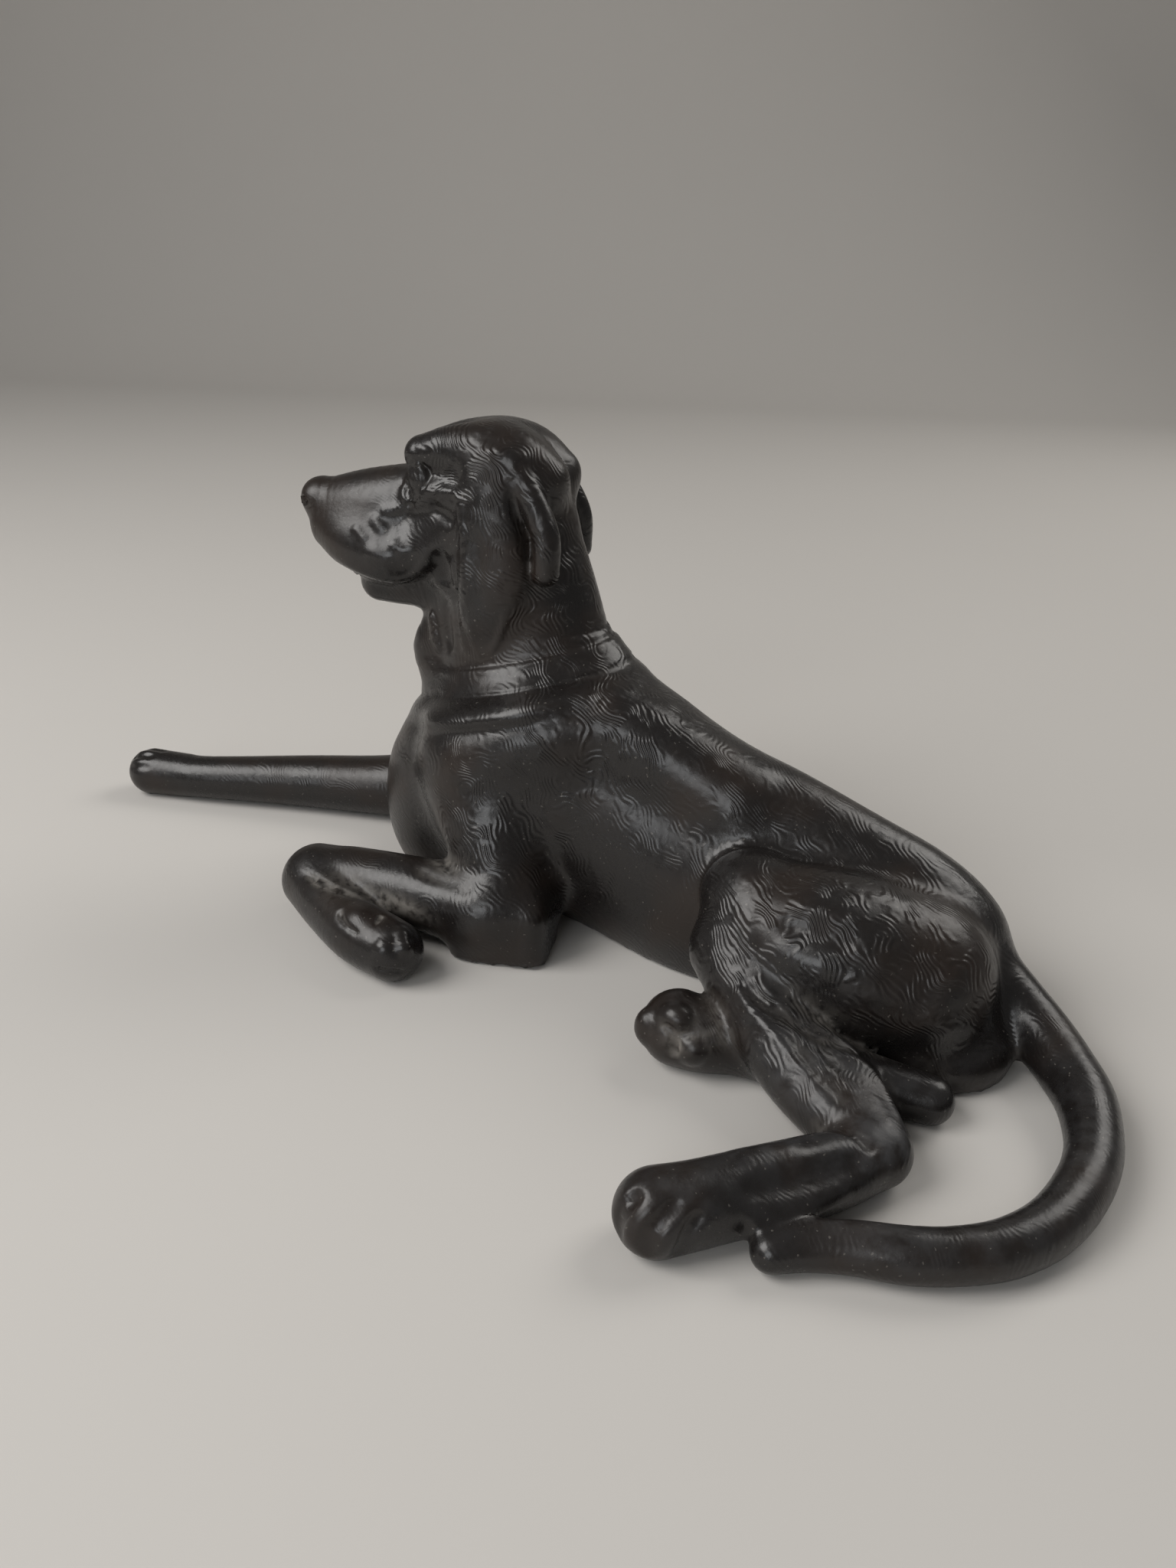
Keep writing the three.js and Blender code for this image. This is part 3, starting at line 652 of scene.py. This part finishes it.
# ---- values carried by the skin for the finish ----
def soft_noise(p, scale, seed):
    """Sum of a few waves in random directions: a smooth unevenness between about -1 and 1."""
    draw = np.random.default_rng(seed)
    total = np.zeros(len(p))
    for _ in range(9):
        direction = draw.normal(size=3)
        direction *= (0.7 + 0.6 * draw.random()) / np.linalg.norm(direction) / scale
        total += np.sin(p @ direction + draw.random() * 2 * math.pi)
    return total / 3.2


def hollow(p, normal, reach):
    """How much the skin closes in around a point: the field a little way out, against open air."""
    return np.clip(1.0 - field(p + reach * normal) / reach, 0.0, 1.0)


def spots(p, places):
    """The greatest of soft round spots (x, y, z, radius, strength)."""
    total = np.zeros(len(p))
    for x, y, z, radius, strength in places:
        away = ((p - np.array((x, y, z))) ** 2).sum(1) / radius ** 2
        total = np.maximum(total, strength * np.exp(-away))
    return total


# soft spots (x, y, z, radius, strength) of the finish, and creases closer than these reaches
NARROW_CREASE, WIDE_CREASE = 1.6, 4.0
FUR_PLACES = [
    (50, -36, 32, 26, 1.0), (66, -30, 26, 18, 1.0), (34, -38, 28, 16, 0.9), (-22, -16, 58, 20, 0.8),
    (-44, -28, 34, 18, 0.6), (-58, -18, 116, 14, 0.9), (-44, -6, 90, 20, 0.7), (10, -14, 44, 18, 0.35),
]
BARE_PLACES = [
    (-98, -22, 97, 20, 0.9), (-178, -20, 8, 22, 0.9), (-66, -58, 8, 18, 0.9), (24, -54, 8, 12, 0.9),
    (44, -102, 8, 16, 0.8), (100, -40, 6, 24, 0.7),
]
DUST_PLACES = [
    (-74, -55, 14, 12, 0.8), (-60, -53, 12, 8, 1.0), (-53, -44, 20, 9, 0.7), (-44, -45, 19, 6, 0.6),
    (22, -58, 10, 6, 1.0), (28, -55, 13, 6, 0.8), (20, -58, 5, 5, 0.7), (50, -49, 17, 14, 0.5),
    (60, -61, 14, 8, 0.4),
]
WEAR_PLACES = [
    (58, -57, 15, 18, 0.7), (70, -68, 12, 14, 0.9), (60, -82, 13, 16, 0.5), (45, -103, 10, 14, 0.3),
    (104, -45, 6, 26, 0.35), (84, -83, 5, 20, 0.4), (38, -47, 20, 12, 0.3),
]


def finish_values(p):
    """Per point: where fur is cut, where dust lies and where the varnish is rubbed."""
    g = slope(p)
    normal = g / np.maximum(np.linalg.norm(g, axis=1), 1e-6)[:, None]
    crease = np.maximum(hollow(p, normal, NARROW_CREASE) * 1.2, hollow(p, normal, WIDE_CREASE))
    uneven = soft_noise(p, 4.0, 5)
    dust = np.clip(spots(p, DUST_PLACES) * (0.25 + 1.5 * crease) + 0.25 * crease - 0.12, 0, 1)
    dust = np.clip(dust * (1 + 0.35 * uneven), 0, 1) * smooth_step(normal[:, 2], -0.4, 0.3)
    edge = np.clip(0.5 - crease * 2.0, 0, 1)
    wear = np.clip(spots(p, WEAR_PLACES) * (0.6 + 0.8 * edge) * (1 + 0.4 * uneven), 0, 1)
    wear *= smooth_step(normal[:, 2], -0.2, 0.6)
    fur = np.clip(spots(p, FUR_PLACES) + 0.15, 0, 1)
    fur *= 1 - spots(p, BARE_PLACES)
    return {"fur": np.clip(fur, 0, 1), "dust": dust, "wear": wear}


# ---- Blender mesh and materials ----
def to_frame(p):
    """From the sculptor's frame to metres in the frame, scaled to the length of the casting's box."""
    low, high = (np.array(v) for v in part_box("hound_casting"))
    unit = (high[0] - low[0]) / LENGTH
    out = (p - np.array((MIDDLE[0], MIDDLE[1], 0.0))) * unit
    out[:, 0] += (high[0] + low[0]) / 2
    out[:, 1] += (high[1] + low[1]) / 2
    out[:, 2] += low[2]
    return out


def mesh_object(name, p, faces, values):
    """An object from whole arrays of points and triangles, with its values as point attributes."""
    mesh = bpy.data.meshes.new(name)
    mesh.vertices.add(len(p))
    mesh.vertices.foreach_set("co", p.astype(np.float32).ravel())
    mesh.loops.add(3 * len(faces))
    mesh.loops.foreach_set("vertex_index", faces.astype(np.int32).ravel())
    mesh.polygons.add(len(faces))
    mesh.polygons.foreach_set("loop_start", np.arange(0, 3 * len(faces), 3, dtype=np.int32))
    mesh.update(calc_edges=True)
    mesh.validate()
    for key, value in values.items():
        mesh.attributes.new(key, "FLOAT", "POINT").data.foreach_set("value", value.astype(np.float32))
    mesh.polygons.foreach_set("use_smooth", np.ones(len(mesh.polygons), bool))
    piece = bpy.data.objects.new(name, mesh)
    bpy.context.scene.collection.objects.link(piece)
    return piece


class Nodes:
    """Short ways to lay out a material's nodes."""

    def __init__(self, material):
        material.use_nodes = True
        self.tree = material.node_tree
        self.shader = self.tree.nodes["Principled BSDF"]

    def link(self, value, socket):
        if isinstance(value, bpy.types.NodeSocket):
            self.tree.links.new(value, socket)
        else:
            socket.default_value = value

    def add(self, kind, out=0, settings=None, **inputs):
        node = self.tree.nodes.new(kind)
        for key, value in (settings or {}).items():
            setattr(node, key, value)
        for key, value in inputs.items():
            self.link(value, node.inputs[int(key[1:]) if key[1:].isdigit() else key.replace("_", " ")])
        return node.outputs[out]

    def math(self, operation, a, b=0.5, c=0.5):
        return self.add("ShaderNodeMath", settings={"operation": operation}, i0=a, i1=b, i2=c)

    def attribute(self, name):
        return self.add("ShaderNodeAttribute", 2, settings={"attribute_name": name})

    def mix(self, share, a, b):
        node = self.tree.nodes.new("ShaderNodeMix")
        node.data_type = "RGBA"
        self.link(share, node.inputs[0])
        self.link(a, node.inputs[6])
        self.link(b, node.inputs[7])
        return node.outputs[2]

    def noise(self, vector, scale, detail=2.0, out=0):
        return self.add("ShaderNodeTexNoise", out, Vector=vector, Scale=scale, Detail=detail)

    def ramp(self, value, low, high):
        return self.add("ShaderNodeMapRange", 0, settings={"interpolation_type": "SMOOTHSTEP"},
                        Value=value, i1=low, i2=high, i3=0.0, i4=1.0)


def varnish(settings):
    """Black varnish over iron: uneven gloss, cut strokes of fur, grey rubs and pale dust in the creases."""
    material = bpy.data.materials.new("black_varnish")
    n = Nodes(material)
    place = n.add("ShaderNodeTexCoord", 3)
    fur, dust, wear = (n.attribute(v) for v in ("fur", "dust", "wear"))
    broad = n.noise(place, 45.0, 3.0)
    grain = n.noise(place, 700.0, 3.0)
    speck = n.noise(place, 2600.0, 1.0)
    # colour
    black = tuple(settings.varnish) + (1.0,)
    grey = tuple(settings.rubbed) + (1.0,)
    pale = tuple(settings.dust) + (1.0,)
    warm = (black[0] * 1.5, black[1] * 1.15, black[2] * 0.9, 1.0)
    base = n.mix(n.ramp(broad, 0.42, 0.68), black, warm)
    rub = n.math("MULTIPLY", wear, n.ramp(n.noise(place, 260.0, 4.0), 0.30, 0.66))
    base = n.mix(rub, base, grey)
    powder = n.math("MULTIPLY", dust, n.ramp(n.noise(place, 520.0, 4.0), 0.22, 0.62))
    base = n.mix(powder, base, pale)
    motes = n.math("MULTIPLY", n.ramp(n.noise(place, 1500.0, 0.0), 0.79, 0.83), 0.35)
    base = n.mix(motes, base, pale)
    n.link(base, n.shader.inputs["Base Color"])
    # gloss
    rough = n.math("MULTIPLY_ADD", n.ramp(broad, 0.3, 0.7), 0.10, settings.gloss_roughness)
    rough = n.math("ADD", rough, n.math("MULTIPLY", n.ramp(grain, 0.35, 0.75), 0.07))
    rough = n.math("ADD", rough, n.math("MULTIPLY", rub, 0.16))
    rough = n.math("ADD", rough, n.math("MULTIPLY", powder, 0.45))
    n.link(rough, n.shader.inputs["Roughness"])
    n.shader.inputs["Metallic"].default_value = 0.0
    n.shader.inputs["Specular IOR Level"].default_value = 0.5
    # relief: curved strokes like fine combing, and a light pebble of the casting skin
    swirl = n.noise(place, 90.0, 1.0, 1)
    bent = n.add("ShaderNodeVectorMath", settings={"operation": "MULTIPLY_ADD"}, i0=swirl,
                 i1=(0.016, 0.016, 0.016), i2=place)
    strokes = n.add("ShaderNodeTexWave", 1, settings={"wave_type": "BANDS", "bands_direction": "DIAGONAL"},
                    Vector=bent, Scale=270.0, Distortion=1.4, Detail=1.0, Detail_Scale=1.2)
    broken = n.ramp(n.noise(place, 240.0, 1.0), 0.36, 0.58)
    cut = n.math("MULTIPLY", n.math("MULTIPLY", strokes, broken), fur)
    height = n.math("MULTIPLY_ADD", cut, settings.fur_depth, n.math("MULTIPLY", grain, 0.05))
    height = n.math("MULTIPLY_ADD", speck, 0.012, height)
    bump = n.add("ShaderNodeBump", Height=height, Strength=1.0, Distance=0.001)
    n.link(bump, n.shader.inputs["Normal"])
    return material


def plain_material(name, colour, roughness):
    material = bpy.data.materials.new(name)
    n = Nodes(material)
    place = n.add("ShaderNodeTexCoord", 3)
    tone = n.mix(n.noise(place, 4.0, 2.0), tuple(v * 0.97 for v in colour) + (1.0,), tuple(colour) + (1.0,))
    n.link(tone, n.shader.inputs["Base Color"])
    n.shader.inputs["Roughness"].default_value = roughness
    return material


# ---- the studio, metres ----
FLOOR_RUN = 1.1  # level floor before it bends up
FLOOR_BEND = 0.5  # radius of the bend
WALL = 1.6  # height above the bend
FLOOR_TURN = 30.0  # degrees
FLOOR_SINK = 0.0002  # the floor lies this far under the casting
AIM = (0.0, 0.0, 0.05)
PANELS = [  # name, place, width, share of the key light's power, colour
    ("key", (-0.50, -0.62, 0.80), 0.7, 1.0, (1.0, 0.98, 0.96)),
    ("front", (0.10, -1.00, 0.45), 0.5, 0.30, (0.96, 0.98, 1.0)),
    ("back", (0.45, 0.90, 0.90), 0.7, 0.55, (1.0, 0.97, 0.93)),
]
SKY = (1.0, 0.98, 0.96, 1.0)
SKY_STRENGTH = 0.16
CAMERA_AT = (0.1497, -0.2171, 0.1656)
CAMERA_FORWARD = (-0.4553, 0.7887, -0.4131)
CAMERA_LEVEL = (0.8660, 0.5, 0.0)  # level line across the view
CAMERA_ROLL = 2.3  # degrees
SENSOR, LENS = 36.0, 27.77  # millimetres


# ---- settings a user would change ----
class HoundSettings(bpy.types.PropertyGroup):
    varnish: FloatVectorProperty(name="Varnish", description="Colour of the black varnish", subtype="COLOR",
                                 default=(0.011, 0.0095, 0.0090), min=0, max=1)
    rubbed: FloatVectorProperty(name="Rubbed", description="Colour where the varnish is rubbed grey",
                                subtype="COLOR", default=(0.050, 0.050, 0.052), min=0, max=1)
    dust: FloatVectorProperty(name="Dust", description="Colour of the dust in the creases", subtype="COLOR",
                              default=(0.20, 0.185, 0.165), min=0, max=1)
    gloss_roughness: FloatProperty(name="Roughness", description="Least roughness of the varnish",
                                   default=0.23, min=0.05, max=1, subtype="FACTOR")
    fur_depth: FloatProperty(name="Fur depth", description="Depth of the cut strokes, in millimetres",
                             default=0.17, min=0, max=1)


class StudioSettings(bpy.types.PropertyGroup):
    floor: FloatVectorProperty(name="Floor", description="Colour of the floor and the backdrop",
                               subtype="COLOR", default=(0.62, 0.60, 0.57), min=0, max=1)
    floor_size: FloatProperty(name="Floor size", description="Width of the floor", default=3.0, min=1,
                              subtype="DISTANCE", unit="LENGTH")
    key_power: FloatProperty(name="Key light", description="Power of the main light", default=9.0, min=0,
                             subtype="POWER", unit="POWER")


# ---- operators ----
class HOUND_OT_casting(bpy.types.Operator):
    """Model the hound's casting and give it its varnish"""
    bl_idname = "hound.casting"
    bl_label = "Casting"

    def execute(self, context):
        settings = context.scene.hound
        p, faces = model()
        values = finish_values(p)
        piece = mesh_object("hound", to_frame(p), faces, values)
        piece.data.materials.append(varnish(settings))
        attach(piece, "root")
        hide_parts("hound_casting")
        return {"FINISHED"}


class HOUND_OT_studio(bpy.types.Operator):
    """Lay the floor, hang the lights and place the camera"""
    bl_idname = "hound.studio"
    bl_label = "Studio"

    def execute(self, context):
        settings = context.scene.studio
        self.floor(settings)
        self.lights(settings)
        self.camera(context)
        return {"FINISHED"}

    def floor(self, settings):
        """A floor that bends up into a backdrop: a profile of a level run, a quarter circle and a wall."""
        half, bend, run = settings.floor_size / 2, FLOOR_BEND, FLOOR_RUN
        t = np.linspace(0, math.pi / 2, 25)
        across = np.concatenate([[-half], run + bend * np.sin(t), [run + bend]])
        up = np.concatenate([[0], bend * (1 - np.cos(t)), [bend + WALL]])
        side = np.array([-2.0 * half, 2.0 * half])
        x, y = np.meshgrid(side, across)
        z = np.repeat(up[:, None], 2, 1)
        turn = math.radians(FLOOR_TURN)
        flat = np.stack([x * math.cos(turn) - y * math.sin(turn), x * math.sin(turn) + y * math.cos(turn),
                         z - FLOOR_SINK], -1).reshape(-1, 3)
        i = 2 * np.arange(len(across) - 1)
        faces = np.stack([i, i + 1, i + 3, i + 2], 1)
        mesh = bpy.data.meshes.new("floor")
        mesh.from_pydata(flat.tolist(), [], faces.tolist())
        mesh.polygons.foreach_set("use_smooth", np.ones(len(faces), bool))
        mesh.materials.append(plain_material("pale_floor", settings.floor, 0.85))
        floor = bpy.data.objects.new("floor", mesh)
        bpy.context.scene.collection.objects.link(floor)

    def lights(self, settings):
        """Soft panels around the piece, each aimed at its middle."""
        for name, place, size, share, colour in PANELS:
            light = bpy.data.lights.new(name, "AREA")
            light.shape = "SQUARE"
            light.size = size
            light.energy = settings.key_power * share
            light.color = colour
            panel = bpy.data.objects.new(name, light)
            panel.location = place
            panel.rotation_euler = (Vector(AIM) - Vector(place)).to_track_quat("-Z", "Y").to_euler()
            bpy.context.scene.collection.objects.link(panel)
        world = bpy.data.worlds.new("studio")
        world.use_nodes = True
        sky = world.node_tree.nodes["Background"].inputs
        sky["Color"].default_value = SKY
        sky["Strength"].default_value = SKY_STRENGTH
        bpy.context.scene.world = world

    def camera(self, context):
        """The camera stands over the rump's side and looks down past it at the head, rolled a little."""
        forward = Vector(CAMERA_FORWARD).normalized()
        roll = math.radians(CAMERA_ROLL)
        level = Vector(CAMERA_LEVEL)
        upright = level.cross(forward).normalized()
        right = math.cos(roll) * level + math.sin(roll) * upright
        up = math.cos(roll) * upright - math.sin(roll) * level
        data = bpy.data.cameras.new("camera")
        data.sensor_width = SENSOR
        data.lens = LENS
        data.clip_start = 0.01
        camera = bpy.data.objects.new("camera", data)
        turned = Matrix((right, up, -forward)).transposed().to_4x4()
        camera.matrix_world = Matrix.Translation(CAMERA_AT) @ turned
        context.scene.collection.objects.link(camera)
        context.scene.camera = camera
        context.scene.view_settings.view_transform = "Standard"


class HOUND_PT_panel(bpy.types.Panel):
    """Sizes, colours and the steps that build the hound"""
    bl_idname = "HOUND_PT_panel"
    bl_label = "Cast Iron Hound"
    bl_space_type = "VIEW_3D"
    bl_region_type = "UI"
    bl_category = "Hound"

    def draw(self, context):
        scene = context.scene
        for settings, operator in ((scene.hound, HOUND_OT_casting), (scene.studio, HOUND_OT_studio)):
            box = self.layout.box()
            for key in settings.__annotations__:
                box.prop(settings, key)
            box.operator(operator.bl_idname)


CLASSES = (HoundSettings, StudioSettings, HOUND_OT_casting, HOUND_OT_studio, HOUND_PT_panel)


def register():
    for cls in CLASSES:
        bpy.utils.register_class(cls)
    bpy.types.Scene.hound = PointerProperty(type=HoundSettings)
    bpy.types.Scene.studio = PointerProperty(type=StudioSettings)


def unregister():
    del bpy.types.Scene.studio
    del bpy.types.Scene.hound
    for cls in reversed(CLASSES):
        bpy.utils.unregister_class(cls)


def main():
    register()
    bpy.ops.hound.casting()
    bpy.ops.hound.studio()


if __name__ == "__main__":
    main()
